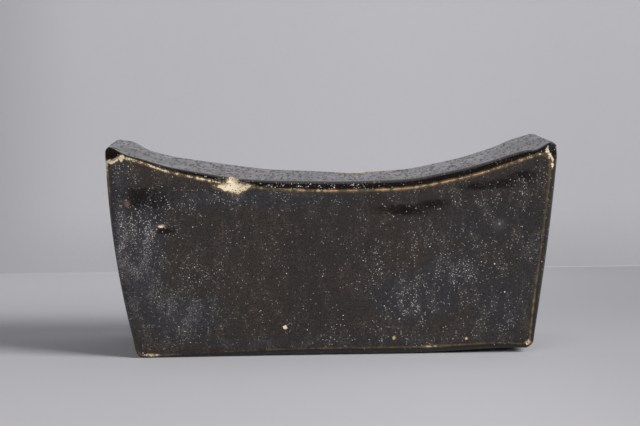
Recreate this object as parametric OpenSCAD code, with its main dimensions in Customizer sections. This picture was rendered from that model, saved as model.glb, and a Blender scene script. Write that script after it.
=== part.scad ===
// A slab-built ceramic headrest with a saddle top.
// Four clay slabs are mitred into a ring: the saddle, two ends and a base. A front and a back
// panel, each with bevelled edges, are let into the mouths of the ring. Slip fills every joint
// and soft clay coils are pressed into the seams that a hand can still reach from the back.
// X runs along the length, Y from the front face to the back face and Z up from the table.

/* [Body] */
// Length between the two top corners, before they are rounded
top_length = 282; // [240:1:330]
// Height of the two top corners, before they are rounded
corner_height = 133.5; // [115:0.5:150]
// Depth from the front face to the back face
depth = 110; // [80:1:150]
// How far the foot of the left end stands in from its top corner
left_foot_inset = 18.5; // [6:0.5:30]
// How far the foot of the right end stands in from its top corner
right_foot_inset = 17; // [6:0.5:30]
// How far the left end bulges out between its top corner and its foot
left_bulge = 4; // [0.4:0.2:6]
// How far the right end bulges out between its top corner and its foot
right_bulge = 1.6; // [0.4:0.2:6]

/* [Saddle] */
// Height of the lowest line of the saddle
saddle_height = 107; // [90:0.5:125]

/* [Clay] */
// Thickness of the four slabs of the ring
ring_wall = 8; // [6:0.5:12]
// Thickness of the front and back panels
panel_wall = 8; // [6:0.5:12]
// Thickness of the slip in each joint
slip = 0.8; // [0.4:0.1:1.5]
// Width of the ring that shows around each panel
rim = 4; // [3.8:0.1:5.5]
// Ledge inside the ring that stops each panel
ledge = 1; // [0.4:0.1:1.5]
// Radius of the clay coils pressed into the seams
coil_radius = 6; // [3:0.5:9]

/* [Edges] */
// Rounding of the front and back edges of the ring
edge_radius = 3.6; // [1:0.2:3.8]
// Rounding of the two top corners, seen from the front
corner_radius = 4; // [2:0.5:7]
// Rounding of the two foot corners, seen from the front
foot_radius = 4; // [1:0.5:6]

/* [Vent] */
// Diameter of the vent hole in the back panel
vent_diameter = 6; // [3:0.5:12]
// Height of the vent hole above the table
vent_height = 58; // [30:1:80]

/* [Hidden] */
// Steps in a full turn of the small roundings and of the long arcs
small_arc_steps = 72;
long_arc_steps = 1440;
$fn = small_arc_steps;
LEFT = -1;
RIGHT = 1;
glaze_colour = "#2b2724";
slip_colour = "#b08a58";
clay_colour = "#d8c8a4";

// Cutters reach this far past the body, and run this far past a face that they cut
reach = top_length + depth;
over = 1;
// An offcut of a rounded corner spreads this many times as far as the corner itself
offcut_spread = 3;
// Each bent slab is drawn longer by this share at both ends before it is mitred
run_past = 0.1;
// Each seam coil stops two radii short of a corner, clear of its neighbours
coil_stop = 2 * coil_radius;
inner_half = depth / 2 - panel_wall;

// The two ends are arcs. Points are [x, z] and each end takes LEFT or RIGHT.
function foot_inset(end) = end == LEFT ? left_foot_inset : right_foot_inset;
function bulge(end) = end == LEFT ? left_bulge : right_bulge;
function top_corner(end) = [end * top_length / 2, corner_height];
function foot_corner(end) = [end * (top_length / 2 - foot_inset(end)), 0];
function end_radius(end) =
    let (chord = norm(top_corner(end) - foot_corner(end)))
    chord * chord / (8 * bulge(end)) + bulge(end) / 2;
function end_centre(end) =
    let (
        chord = top_corner(end) - foot_corner(end),
        inward = end * [-chord[1], chord[0]] / norm(chord)
    )
    (top_corner(end) + foot_corner(end)) / 2 + inward * (end_radius(end) - bulge(end));

// The saddle is one arc from corner to corner.
saddle_fall = corner_height - saddle_height;
saddle_radius = (top_length * top_length / 4 + saddle_fall * saddle_fall) / (2 * saddle_fall);
saddle_centre = [0, saddle_height + saddle_radius];

// Where two circles cross. The side of the line between their centres is -1 or 1.
function crossing(centre_a, radius_a, centre_b, radius_b, side) =
    let (
        apart = norm(centre_b - centre_a),
        along = (centre_b - centre_a) / apart,
        run = (radius_a * radius_a - radius_b * radius_b + apart * apart) / (2 * apart)
    )
    centre_a + run * along
        + side * sqrt(radius_a * radius_a - run * run) * [-along[1], along[0]];

// The points that lie one inset inside both surfaces at a top corner, and at a foot corner.
function top_point(end, inset) =
    crossing(end_centre(end), end_radius(end) - inset,
        saddle_centre, saddle_radius + inset, -end);
function foot_point(end, inset) =
    let (
        radius = end_radius(end) - inset,
        centre = end_centre(end),
        drop = centre[1] - inset
    )
    [centre[0] + end * sqrt(radius * radius - drop * drop), inset];

// The rounded corners set the outermost points, and the origin lies midway between them.
middle_x = (top_point(LEFT, corner_radius)[0] + top_point(RIGHT, corner_radius)[0]) / 2;

function heading(from, to) = atan2(to[1] - from[1], to[0] - from[0]);
// The headings of an end's two corners from its centre, the lower one first.
function end_heading(end, point) =
    let (turn = heading(end_centre(end), point))
    end == LEFT ? (turn + 360) % 360 : turn;
function low_heading(end, inset) =
    end_heading(end, end == LEFT ? top_point(end, inset) : foot_point(end, inset));
function high_heading(end, inset) =
    end_heading(end, end == LEFT ? foot_point(end, inset) : top_point(end, inset));
function on_circle(centre, radius, towards) =
    centre + radius * (towards - centre) / norm(towards - centre);

// Frames and cutters

// Stands a shape drawn in the XZ plane about a centre, with its third axis along the depth
module about(centre) {
    translate([centre[0], 0, centre[1]]) rotate([90, 0, 0]) children();
}

// Everything on the left of the line from one point to another, moved left by a gap
module left_of(from, to, gap = 0) {
    translate([from[0], 0, from[1]]) rotate([0, -heading(from, to), 0])
        translate([-reach, -reach, gap]) cube([2 * reach, 2 * reach, reach]);
}

// Everything on the outer side of the mitre between an end and the saddle, or the base
module past_top_mitre(end, gap) {
    outer = top_corner(end);
    inner = top_point(end, ring_wall);
    if (end == RIGHT) left_of(outer, inner, gap);
    else left_of(inner, outer, gap);
}

module past_base_mitre(end, gap) {
    outer = foot_corner(end);
    inner = foot_point(end, ring_wall);
    if (end == LEFT) left_of(outer, inner, gap);
    else left_of(inner, outer, gap);
}

// What a rounded corner takes off: outside a circle that touches both of its surfaces
module corner_offcut(corner, centre, radius, touch_a, touch_b) {
    about([0, 0]) linear_extrude(depth + 2 * over, center = true) difference() {
        polygon([touch_a, centre + offcut_spread * (corner - centre), touch_b]);
        translate(centre) circle(radius);
    }
}

module corner_offcuts() {
    for (end = [LEFT, RIGHT]) {
        top = top_point(end, corner_radius);
        corner_offcut(top_corner(end), top, corner_radius,
            on_circle(end_centre(end), end_radius(end), top),
            on_circle(saddle_centre, saddle_radius, top));
        foot = foot_point(end, foot_radius);
        corner_offcut(foot_corner(end), foot, foot_radius,
            on_circle(end_centre(end), end_radius(end), foot), [foot[0], 0]);
    }
}

// A cone or cylinder along the depth, with its front radius at the start and its back radius at
// the far end of a stretch
module cone_along(centre, front_radius, back_radius, start, length) {
    step = (back_radius - front_radius) * over / length;
    translate([centre[0], start - over, centre[1]]) rotate([-90, 0, 0])
        cylinder(h = length + 2 * over, r1 = front_radius - step, r2 = back_radius + step,
            $fn = long_arc_steps);
}

// The space inside the arc of one end, drawn in by an inset
module inside_end(end, front_inset, back_inset, start, length) {
    cone_along(end_centre(end), end_radius(end) - front_inset, end_radius(end) - back_inset,
        start, length);
}

// The outline of the body drawn in by an inset, which grows or shrinks from front to back
module inset_body(front_inset, back_inset, start, length) {
    difference() {
        intersection() {
            rotate([90, 0, 90]) linear_extrude(2 * reach, center = true) polygon([
                [start, front_inset], [start + length, back_inset],
                [start + length, reach], [start, reach]
            ]);
            inside_end(LEFT, front_inset, back_inset, start, length);
            inside_end(RIGHT, front_inset, back_inset, start, length);
        }
        cone_along(saddle_centre, saddle_radius + front_inset, saddle_radius + back_inset,
            start, length);
    }
}

// A bevelled panel in the front mouth of the ring, and the mouth itself where the inset is rim
module front_plug(inset) {
    inset_body(inset, inset + ring_wall - rim - ledge, -depth / 2, panel_wall);
}

module both_mouths() {
    front_plug(rim);
    mirror([0, 1, 0]) front_plug(rim);
}

// The ring

// A slab across its thickness and the depth, with its outer edges rounded
module slab_section() {
    half = depth / 2;
    polygon([
        [0, edge_radius - half], [edge_radius, -half], [ring_wall, -half],
        [ring_wall, half], [edge_radius, half], [0, half - edge_radius]
    ]);
    for (face = [-1, 1])
        translate([edge_radius, face * (half - edge_radius)]) circle(edge_radius, $fn = small_arc_steps);
}

// A section bent round a centre, from one heading to another
module bent(centre, from, to) {
    about(centre) rotate(from) rotate_extrude(angle = to - from, $fn = long_arc_steps) children();
}

// The saddle slab, run past its corners
module saddle_sweep() {
    left = heading(saddle_centre, top_corner(LEFT));
    right = heading(saddle_centre, top_corner(RIGHT));
    spare = (right - left) * run_past;
    bent(saddle_centre, left - spare, right + spare)
        translate([saddle_radius, 0]) slab_section();
}

// An end slab, run past its corner and its foot
module end_sweep(end) {
    spare = (high_heading(end, 0) - low_heading(end, 0)) * run_past;
    bent(end_centre(end), low_heading(end, 0) - spare, high_heading(end, 0) + spare)
        translate([end_radius(end), 0]) mirror([1, 0]) slab_section();
}

module base_sweep() {
    rotate([0, -90, 0]) linear_extrude(2 * reach, center = true) slab_section();
}

// Cuts the mouths for the panels and rounds the corners
module trimmed() {
    difference() {
        children();
        both_mouths();
        corner_offcuts();
    }
}

module top_slab() {
    color(glaze_colour) trimmed() difference() {
        saddle_sweep();
        for (end = [LEFT, RIGHT]) past_top_mitre(end, -slip / 2);
    }
}

module base_slab() {
    color(glaze_colour) trimmed() difference() {
        base_sweep();
        for (end = [LEFT, RIGHT]) past_base_mitre(end, -slip / 2);
    }
}

module end_slab(end) {
    color(glaze_colour) trimmed() intersection() {
        end_sweep(end);
        past_top_mitre(end, slip / 2);
        past_base_mitre(end, slip / 2);
    }
}

// The panels

module front_panel() {
    color(glaze_colour) front_plug(rim + slip);
}

module back_panel() {
    color(glaze_colour) difference() {
        mirror([0, 1, 0]) front_plug(rim + slip);
        translate([middle_x, depth / 2 - panel_wall - over, vent_height]) rotate([-90, 0, 0])
            cylinder(h = panel_wall + 2 * over, d = vent_diameter);
    }
}

// The slip in the joints

module front_slip() {
    color(slip_colour) difference() {
        front_plug(rim);
        front_plug(rim + slip);
    }
}

module back_slip() {
    mirror([0, 1, 0]) front_slip();
}

module top_corner_slip(end) {
    color(slip_colour) trimmed() difference() {
        intersection() {
            saddle_sweep();
            past_top_mitre(end, -slip / 2);
        }
        past_top_mitre(end, slip / 2);
    }
}

module base_corner_slip(end) {
    color(slip_colour) trimmed() difference() {
        intersection() {
            base_sweep();
            past_base_mitre(end, -slip / 2);
        }
        past_base_mitre(end, slip / 2);
    }
}

// The clay coils inside

// A coil in the angle at a corner, between a wall on its left and a wall on its right
module corner_coil(corner, left_wall, right_wall) {
    color(clay_colour) intersection() {
        about(corner) cylinder(h = 2 * inner_half, r = coil_radius, center = true);
        left_of(left_wall, corner);
        left_of(corner, right_wall);
    }
}

module top_corner_coil(end) {
    corner = top_point(end, ring_wall);
    under_saddle = on_circle(saddle_centre, saddle_radius + ring_wall,
        corner - [end * coil_radius, 0]);
    on_end = on_circle(end_centre(end), end_radius(end) - ring_wall,
        corner - [0, coil_radius]);
    if (end == RIGHT) corner_coil(corner, on_end, under_saddle);
    else corner_coil(corner, under_saddle, on_end);
}

module base_corner_coil(end) {
    corner = foot_point(end, ring_wall);
    on_base = corner - [end * coil_radius, 0];
    on_end = on_circle(end_centre(end), end_radius(end) - ring_wall,
        corner + [0, coil_radius]);
    if (end == RIGHT) corner_coil(corner, on_base, on_end);
    else corner_coil(corner, on_end, on_base);
}

// A quarter round in the angle between a slab and the front panel
module coil_section() {
    translate([ring_wall, inner_half]) intersection() {
        circle(coil_radius, $fn = small_arc_steps);
        translate([0, -coil_radius]) square(coil_radius);
    }
}

module front_top_coil() {
    stop = coil_stop / (saddle_radius + ring_wall) * 180 / PI;
    left = heading(saddle_centre, top_point(LEFT, ring_wall));
    right = heading(saddle_centre, top_point(RIGHT, ring_wall));
    color(clay_colour) bent(saddle_centre, left + stop, right - stop)
        translate([saddle_radius, 0]) coil_section();
}

module front_end_coil(end) {
    stop = coil_stop / (end_radius(end) - ring_wall) * 180 / PI;
    low = low_heading(end, ring_wall) + stop;
    high = high_heading(end, ring_wall) - stop;
    color(clay_colour) bent(end_centre(end), low, high)
        translate([end_radius(end), 0]) mirror([1, 0]) coil_section();
}

module front_base_coil() {
    left = foot_point(LEFT, ring_wall)[0] + coil_stop;
    right = foot_point(RIGHT, ring_wall)[0] - coil_stop;
    color(clay_colour) translate([right, 0, 0]) rotate([0, -90, 0])
        linear_extrude(right - left) mirror([0, 1]) coil_section();
}

// Moves the body so that the origin lies under its middle
module placed() {
    translate([-middle_x, 0, 0]) children();
}

placed() top_slab();
placed() base_slab();
placed() end_slab(LEFT);  // left_end_slab
placed() end_slab(RIGHT);  // right_end_slab
placed() front_panel();
placed() back_panel();
placed() front_slip();
placed() back_slip();
placed() top_corner_slip(LEFT);  // top_left_slip
placed() top_corner_slip(RIGHT);  // top_right_slip
placed() base_corner_slip(LEFT);  // base_left_slip
placed() base_corner_slip(RIGHT);  // base_right_slip
placed() top_corner_coil(LEFT);  // top_left_coil
placed() top_corner_coil(RIGHT);  // top_right_coil
placed() base_corner_coil(LEFT);  // base_left_coil
placed() base_corner_coil(RIGHT);  // base_right_coil
placed() front_top_coil();
placed() front_base_coil();
placed() front_end_coil(LEFT);  // front_left_coil
placed() front_end_coil(RIGHT);  // front_right_coil
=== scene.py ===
"""A black-glazed, slab-built ceramic headrest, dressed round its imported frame.

Lengths are millimetres in the object's own frame: X along the body, Y from the front face to
the back face and Z up from the table. They become metres where a mesh is made.
"""
import math

import bmesh
import bpy
import numpy as np
from mathutils import Euler, Matrix, Vector, kdtree, noise


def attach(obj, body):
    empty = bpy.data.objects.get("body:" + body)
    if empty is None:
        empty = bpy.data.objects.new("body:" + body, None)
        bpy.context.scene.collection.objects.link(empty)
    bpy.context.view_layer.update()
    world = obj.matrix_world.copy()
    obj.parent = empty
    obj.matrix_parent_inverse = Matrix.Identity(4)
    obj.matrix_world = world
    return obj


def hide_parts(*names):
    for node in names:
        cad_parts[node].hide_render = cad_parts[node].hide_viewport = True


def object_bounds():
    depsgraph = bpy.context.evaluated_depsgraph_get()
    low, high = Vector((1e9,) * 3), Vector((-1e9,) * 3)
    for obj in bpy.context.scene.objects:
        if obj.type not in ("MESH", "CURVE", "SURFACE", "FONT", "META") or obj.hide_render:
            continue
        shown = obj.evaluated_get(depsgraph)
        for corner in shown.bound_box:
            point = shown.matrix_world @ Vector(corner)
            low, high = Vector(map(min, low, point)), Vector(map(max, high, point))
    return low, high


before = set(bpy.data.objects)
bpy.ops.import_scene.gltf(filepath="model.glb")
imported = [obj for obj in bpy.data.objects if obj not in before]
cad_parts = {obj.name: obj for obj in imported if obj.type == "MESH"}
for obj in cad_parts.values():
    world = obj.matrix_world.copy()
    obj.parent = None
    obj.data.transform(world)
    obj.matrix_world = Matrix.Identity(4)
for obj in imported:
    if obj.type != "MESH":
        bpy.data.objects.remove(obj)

cad_low, cad_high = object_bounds()

MM = 0.001
BODY = "root"
LEFT, RIGHT = -1, 1
TOP, FOOT = "top", "foot"

# The drawn body
TOP_LENGTH = 282.0
CORNER_HEIGHT = 133.5
SADDLE_HEIGHT = 107.0
FOOT_INSET = {LEFT: 18.5, RIGHT: 17.0}
BULGE = {LEFT: 4.0, RIGHT: 1.6}
HALF_DEPTH = (cad_high.y - cad_low.y) / 2 / MM
RING_WALL = 8.0
PANEL_WALL = 8.0
RIM = 4.0
SLIP = 0.8
LEDGE = 1.0
VENT_DIAMETER = 6.0
VENT_HEIGHT = 58.0
VENT_LIP = 0.7
INNER_HALF = HALF_DEPTH - PANEL_WALL
SEAT_INSET = RING_WALL - LEDGE
PANEL_EDGE = RIM + SLIP

# How far each corner is rounded where the outline is drawn in by an inset
ROUNDING_INSETS = (0.0, PANEL_EDGE, 9.0)
CORNER_ROUNDING = {
    (LEFT, TOP): (3.4, 6.0, 0.5), (RIGHT, TOP): (4.6, 6.5, 0.5),
    (LEFT, FOOT): (5.0, 2.5, 0.5), (RIGHT, FOOT): (6.0, 2.5, 0.5),
}

# The arris between the rim and each panel: its lean, its height and the panel's fall behind it
ARRIS_LEAN = math.radians(20)
BEAD = 0.1
PANEL_FALL = 0.25
PANEL_FACE = HALF_DEPTH - PANEL_FALL
# Stretches of the front edge: a crisp one is level almost to its outside, a rolled one turns over
# a low shoulder and slopes up behind it, a proud one stands up as a lip, and a blunt one is a
# plain round with no arris. Each has the insets of its arris and shoulder, its lean, and the run
# of its slope
CRISP_ARRIS = 1.1
PLAIN_EDGE = (RIM, 0.0, ARRIS_LEAN, 1.0)
EDGE_SHAPES = {
    "crisp": (CRISP_ARRIS, 0.0, ARRIS_LEAN, 1.0),
    "rolled": (RIM, 2.4, ARRIS_LEAN, 45.0),
    "proud": (RIM, -1.2, ARRIS_LEAN, 25.0),
    "blunt": (RIM, 0.0, 0.0, 1.0),
}
# Along each side of the front, clockwise: share of the side and how far its edge has each shape
EDGES = {
    "crisp": {"right": ((0.0, 0.0), (0.65, 0.0), (1.0, 0.6)),
              "base": ((0.0, 0.6), (0.12, 0.0), (0.55, 0.0), (1.0, 1.0)),
              "left": ((0.0, 1.0), (0.2, 0.0), (1.0, 0.0))},
    "rolled": {"top": ((0.0, 0.0), (0.04, 1.0), (0.12, 0.6), (0.3, 0.15), (0.42, 0.0),
                       (0.9, 0.0), (0.96, 0.6), (1.0, 0.0))},
    "proud": {"top": ((0.0, 0.0), (0.3, 0.0), (0.45, 1.0), (0.8, 0.8), (0.93, 0.5),
                      (0.98, 0.0), (1.0, 0.0))},
    "blunt": {"left": ((0.0, 0.0), (0.2, 1.0), (0.92, 1.0), (1.0, 0.0))},
}

# Steps of the meshes
FILLET_STEPS = 6
RUN_STEPS = {"top": 264, "right": 116, "base": 264, "left": 116}
ROUND_STEPS = 12
DEPTH_STEPS = 96
PANEL_RINGS = (PANEL_EDGE, 5.1, 5.5, 6.1, 6.9, 7.9, 9.0)
# Points this close are joined, edges this short dissolved, and edges this sharp stay sharp
WELD = 0.002
SLIVER = 0.001
SHARP_ANGLE = math.radians(50)

# The sides of the ring, clockwise from the front, with the two corners each runs between
SIDES = {
    "top": ((LEFT, TOP), (RIGHT, TOP)),
    "right": ((RIGHT, TOP), (RIGHT, FOOT)),
    "base": ((RIGHT, FOOT), (LEFT, FOOT)),
    "left": ((LEFT, FOOT), (LEFT, TOP)),
}


def smooth(share):
    share = np.clip(share, 0, 1)
    return share * share * (3 - 2 * share)


def grow(value, start, run):
    """0 before a start and 1 past a run from it, which is negative where it falls."""
    return smooth((value - start) / run)


# Outline of the body, in [x, z]

def flat(x, z):
    return np.array((x, z), float)


def unit(way):
    return way / np.linalg.norm(way)


def clockwise(way):
    return flat(way[1], -way[0])


def crossing(centre_a, radius_a, centre_b, radius_b, side):
    """Where two circles cross, on one side of the line between their centres."""
    apart = np.linalg.norm(centre_b - centre_a)
    along = (centre_b - centre_a) / apart
    run = (radius_a ** 2 - radius_b ** 2 + apart ** 2) / (2 * apart)
    across = side * math.sqrt(radius_a ** 2 - run ** 2)
    return centre_a + run * along + across * flat(-along[1], along[0])


def end_arc(end):
    """Centre and radius of the arc of one end."""
    top = flat(end * TOP_LENGTH / 2, CORNER_HEIGHT)
    foot = flat(end * (TOP_LENGTH / 2 - FOOT_INSET[end]), 0)
    chord = top - foot
    length = np.linalg.norm(chord)
    radius = length ** 2 / (8 * BULGE[end]) + BULGE[end] / 2
    inward = end * flat(-chord[1], chord[0]) / length
    return (top + foot) / 2 + inward * (radius - BULGE[end]), radius


END_ARC = {end: end_arc(end) for end in (LEFT, RIGHT)}
SADDLE_FALL = CORNER_HEIGHT - SADDLE_HEIGHT
SADDLE_RADIUS = ((TOP_LENGTH / 2) ** 2 + SADDLE_FALL ** 2) / (2 * SADDLE_FALL)
SADDLE_CENTRE = flat(0, SADDLE_HEIGHT + SADDLE_RADIUS)


def corner(end, level, inset):
    """Centre and rounding of a corner at an inset, and the ways its run and its end face."""
    rounding = float(np.interp(inset, ROUNDING_INSETS, CORNER_ROUNDING[end, level]))
    depth_in = inset + rounding
    end_centre, end_radius = END_ARC[end]
    if level == TOP:
        centre = crossing(end_centre, end_radius - depth_in,
                          SADDLE_CENTRE, SADDLE_RADIUS + depth_in, -end)
        run_way = unit(SADDLE_CENTRE - centre)
    else:
        drop = end_centre[1] - depth_in
        reach = math.sqrt((end_radius - depth_in) ** 2 - drop ** 2)
        centre = flat(end_centre[0] + end * reach, depth_in)
        run_way = flat(0, -1)
    return centre, rounding, run_way, unit(centre - end_centre)


MIDDLE_X = np.mean([corner(end, TOP, 0)[0][0] for end in (LEFT, RIGHT)])


def mitre(end, level, inset):
    """The point where the two sides of a corner meet at an inset, and the way it faces."""
    centre, rounding, run_way, end_way = corner(end, level, inset)
    way = unit(run_way + end_way)
    return centre + rounding * way - flat(MIDDLE_X, 0), way


def arc(centre, first, last, steps):
    """Points on a circle from one of its points to another, the short way round."""
    start, stop = first - centre, last - centre
    turn = math.atan2(start[0] * stop[1] - start[1] * stop[0], start @ stop)
    angles = math.atan2(start[1], start[0]) + turn * np.linspace(0, 1, steps + 1)
    return centre + np.linalg.norm(start) * np.column_stack((np.cos(angles), np.sin(angles)))


def side_curve(side, inset):
    """One side of the outline drawn in by an inset, from mitre to mitre."""
    halves = []
    for end, level in SIDES[side]:
        centre, rounding, run_way, end_way = corner(end, level, inset)
        side_way = run_way if side in ("top", "base") else end_way
        meeting = centre + rounding * unit(run_way + end_way)
        halves.append(arc(centre, meeting, centre + rounding * side_way, FILLET_STEPS))
    first, last = halves[0], halves[1][::-1]
    steps = RUN_STEPS[side]
    if side == "base":
        middle = np.linspace(first[-1], last[0], steps + 1)
    elif side == "top":
        middle = arc(SADDLE_CENTRE, first[-1], last[0], steps)
    else:
        middle = arc(END_ARC[SIDES[side][0][0]][0], first[-1], last[0], steps)
    curve = np.vstack((first[:-1], middle, last[1:]))
    return curve - flat(MIDDLE_X, 0)


def slab_curve(side, inset):
    """One side drawn back from its two mitres, which leaves room there for the slip."""
    curve = side_curve(side, inset)
    ramp = np.clip(1 - np.arange(len(curve)) / (2 * FILLET_STEPS), 0, 1)[:, None] * SLIP / 2
    start, stop = [clockwise(mitre(*place, inset)[1]) for place in SIDES[side]]
    return curve + ramp * start - ramp[::-1] * stop


def whole_outline(inset):
    """All four sides as one closed loop."""
    return np.vstack([side_curve(side, inset)[:-1] for side in SIDES])


# Sections across the clay, as [inset, y] loops

def rim_round(arris, shoulder, lean):
    """The front edge of the ring: level out to its arris, then rounded up to its shoulder."""
    radius = (arris - shoulder) / (1 - math.sin(lean))
    leans = np.linspace(lean, math.pi / 2, 4 * ROUND_STEPS)
    insets = shoulder + radius * (1 - np.sin(leans))
    ys = BEAD - HALF_DEPTH + radius * (math.cos(lean) - np.cos(leans))
    path = np.vstack(((RIM, BEAD - HALF_DEPTH), np.column_stack((insets, ys))))
    run = np.insert(np.cumsum(np.linalg.norm(np.diff(path, axis=0), axis=1)), 0, 0)
    even = np.linspace(0, run[-1], ROUND_STEPS + 1)
    return np.column_stack([np.interp(even, run, path[:, axis]) for axis in (0, 1)])


def slab_section(arris, shoulder, lean, reach):
    """A slab across its wall and the depth, with the shape of its front edge."""
    front = rim_round(arris, shoulder, lean)
    back = rim_round(RIM, 0, ARRIS_LEAN)[::-1] * (1, -1)
    ys = np.linspace(front[-1, 1], back[0, 1], DEPTH_STEPS + 1)[1:-1]
    slope = shoulder * (1 - grow(ys, ys[0], reach))
    inside = np.array([(SEAT_INSET, INNER_HALF), (RING_WALL, INNER_HALF),
                       (RING_WALL, -INNER_HALF), (SEAT_INSET, -INNER_HALF)])
    return np.vstack((front, np.column_stack((slope, ys)), back, inside))


def edge_shares(side):
    """How far the front edge has each shape at each station of a side."""
    along = np.linspace(0, 1, RUN_STEPS[side] + 2 * FILLET_STEPS + 1)
    shares = {}
    for shape, sides in EDGES.items():
        stops, values = np.array(sides.get(side, ((0, 0), (1, 0)))).T
        shares[shape] = smooth(np.interp(along, stops, values))
    return shares


def bead_section():
    """The slip round the front panel: a low bead on the arris with a wedge behind it."""
    crown = -HALF_DEPTH
    lip = SLIP / 5
    return np.array([
        (RIM, crown + BEAD), (RIM + lip, crown), (PANEL_EDGE - lip, crown),
        (PANEL_EDGE, crown + PANEL_FALL / 2),
        (SEAT_INSET + SLIP, -INNER_HALF), (SEAT_INSET, -INNER_HALF),
    ])


# Meshes as lists of points and faces

def rails(section, curve_of):
    """Points of a section carried along the curve that belongs to each of its insets."""
    curves = {inset: curve_of(inset) for inset in {point[0] for point in section}}
    return np.stack([np.insert(curves[inset], 1, y, axis=1) for inset, y in section], axis=1)


def slab_rails(curve_of, shares):
    """Rails of a slab whose front edge has a share of each shape at each station."""
    plain = rails(slab_section(*PLAIN_EDGE), curve_of)
    shaped = plain.copy()
    for shape, share in shares.items():
        full = rails(slab_section(*EDGE_SHAPES[shape]), curve_of)
        shaped += share[:, None, None] * (full - plain)
    return shaped


def ring_faces(loop_size, loops, start):
    """Faces between closed loops of points that follow each other."""
    faces = []
    for i in range(loops - 1):
        for j in range(loop_size):
            k = (j + 1) % loop_size
            a, b = start + i * loop_size, start + (i + 1) * loop_size
            faces.append((a + j, a + k, b + k, b + j))
    return faces


def skin(points, closed):
    """The points and faces of a solid whose sections follow each other."""
    stations, across = points.shape[:2]
    count = stations * across
    if closed:
        faces = [tuple(i % count for i in face) for face in ring_faces(across, stations + 1, 0)]
    else:
        faces = ring_faces(across, stations, 0)
        faces.append(tuple(range(across)))
        faces.append(tuple(range(count - across, count)))
    return points.reshape(-1, 3), faces


def patch(inset):
    """A grid that fills the outline drawn in by an inset, as [columns, rows, 2]."""
    top, right = side_curve("top", inset), side_curve("right", inset)[::-1]
    base, left = side_curve("base", inset)[::-1], side_curve("left", inset)
    u = np.linspace(0, 1, len(top))[:, None, None]
    v = np.linspace(0, 1, len(left))[None, :, None]
    between_runs = (1 - v) * base[:, None] + v * top[:, None]
    between_ends = (1 - u) * left[None] + u * right[None]
    corners = ((1 - u) * (1 - v) * base[0] + u * (1 - v) * base[-1]
               + (1 - u) * v * top[0] + u * v * top[-1])
    return between_runs + between_ends - corners


def grid_faces(columns, rows, start, hole):
    """Faces of a grid, without the block of cells that a hole takes."""
    faces = []
    for i in range(columns - 1):
        for j in range(rows - 1):
            if hole and hole[0] <= i < hole[1] and hole[2] <= j < hole[3]:
                continue
            a = start + i * rows + j
            faces.append((a, a + rows, a + rows + 1, a + 1))
    return faces


def block_edge(grid, hole):
    """The points round a block of cells of a grid, as one loop."""
    left, right, low, high = hole
    return np.vstack((
        grid[left:right, low], grid[right, low:high],
        grid[right:left:-1, high], grid[left, high:low:-1],
    ))


def vent_rings(face_edge, inner_edge, middle):
    """Loops from the face round the vent's lip, through the wall and out to the inner face."""
    way = face_edge - middle
    way = way / np.linalg.norm(way, axis=1)[:, None]
    radius, lip = VENT_DIAMETER / 2, VENT_LIP
    face_y, inner_y = PANEL_FACE, INNER_HALF
    hole = [
        (radius + 2.2 * lip, face_y), (radius + lip, face_y), (radius + lip / 3, face_y - lip / 3),
        (radius, face_y - lip), (radius, (face_y + inner_y) / 2), (radius, inner_y),
    ]
    loops = [np.insert(face_edge, 1, face_y, axis=1)]
    loops += [np.insert(middle + r * way, 1, y, axis=1) for r, y in hole]
    loops.append(np.insert(inner_edge, 1, inner_y, axis=1))
    return loops


def panel_mesh(vented):
    """A bevelled panel that faces the front, or the back where it is vented."""
    side = 1 if vented else -1
    points, faces = [], []

    def lay(new_points, faces_from):
        start = sum(len(p) for p in points)
        points.append(new_points)
        faces.extend(faces_from(start))

    drops = np.linspace(PANEL_FALL / 2, 0, len(PANEL_RINGS))
    edge = [(SEAT_INSET + SLIP, INNER_HALF)]
    edge += [(inset, PANEL_FACE + drop) for inset, drop in zip(PANEL_RINGS, drops)]
    loops = [np.insert(whole_outline(inset), 1, side * y, axis=1) for inset, y in edge]
    lay(np.vstack(loops), lambda start: ring_faces(len(loops[0]), len(loops), start))

    face_grid, inner_grid = patch(PANEL_RINGS[-1]), patch(SEAT_INSET + SLIP)
    columns, rows = face_grid.shape[:2]
    hole = None
    if vented:
        middle = flat(0, VENT_HEIGHT)
        i = int(np.argmin(abs(face_grid[:, rows // 2, 0])))
        j = int(np.argmin(abs(face_grid[i, :, 1] - VENT_HEIGHT)))
        half = math.ceil(VENT_DIAMETER)
        hole = (i - half, i + half, j - half, j + half)
    for grid, y in ((face_grid, PANEL_FACE), (inner_grid, INNER_HALF)):
        flat_points = np.insert(grid.reshape(-1, 2), 1, side * y, axis=1)
        lay(flat_points, lambda start: grid_faces(columns, rows, start, hole))
    if vented:
        rings = vent_rings(block_edge(face_grid, hole), block_edge(inner_grid, hole), middle)
        lay(np.vstack(rings), lambda start: ring_faces(len(rings[0]), len(rings), start))
    return np.vstack(points), faces


# Wear, chips and the potter's hand

# Ripples in the wear and the glaze: width of their humps, where the noise starts, and strength
WEAR_WAVES = (9, 3.1, 0.3)
WEAR_NICKS = (2.5, 8.7, 0.6)
PALE_WAVES = (14, 5.3, 0.25)
CHIP_RAGS = (3.0, 1.7, 0.35)
CHIP_FLOOR = (1.8, 6.1, 0.3)
CLOUDS = (36, 2.3, 2.5)
THICK_GLAZE = (24, 7.9, 2.5)


def ripple(x, y, z, kind):
    """Smooth noise with humps about as wide as the size of its kind."""
    size, seed, strength = kind
    return strength * noise.noise(Vector((x / size + seed, y / size, z / size - seed)))


def drift(points, kind):
    """A ripple at each point."""
    return np.array([ripple(*point, kind) for point in points])


def tree_of(points):
    """A tree that finds the nearest of the points."""
    made = kdtree.KDTree(len(points))
    for index, point in enumerate(points):
        made.insert(Vector(point), index)
    made.balance()
    return made


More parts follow.
